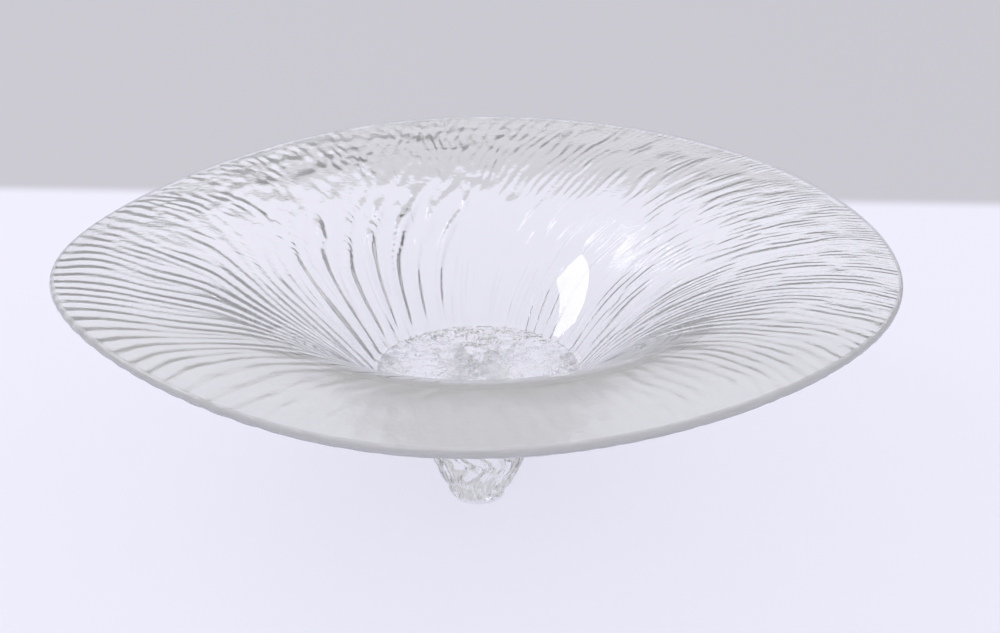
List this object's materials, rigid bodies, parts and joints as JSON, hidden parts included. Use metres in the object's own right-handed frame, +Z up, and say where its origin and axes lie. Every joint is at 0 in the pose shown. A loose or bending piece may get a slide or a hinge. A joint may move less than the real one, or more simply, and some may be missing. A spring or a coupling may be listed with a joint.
{
  "type": "art glass bowl",
  "caption": "Wide shallow bowl of clear textured glass with a wavy flared lip, a small deep well, and short tapered feet that it stands on.",
  "frame": {"origin": "on the table plane, on the bowl's own axis, at the centre of the three feet", "axes": "+Z up along the bowl's axis; -Y towards the front foot; +X to the right when the front foot faces the viewer"},
  "size_m": [0.3, 0.3, 0.0896],
  "materials": {
    "bark_glass": "clear, fire-polished and smooth inside, pressed bark-like ridges on the underside",
    "ice_glass": "clear, smooth floor over a crumpled, ice-like underside",
    "foot_glass": "clear, lightly ribbed flanks, flat tips"
  },
  "bodies": {
    "root": {"bowl_shell": "bark_glass", "base_plug": "ice_glass", "foot_front": "foot_glass", "foot_back_right": "foot_glass", "foot_back_left": "foot_glass"}
  },
  "joints": []
}
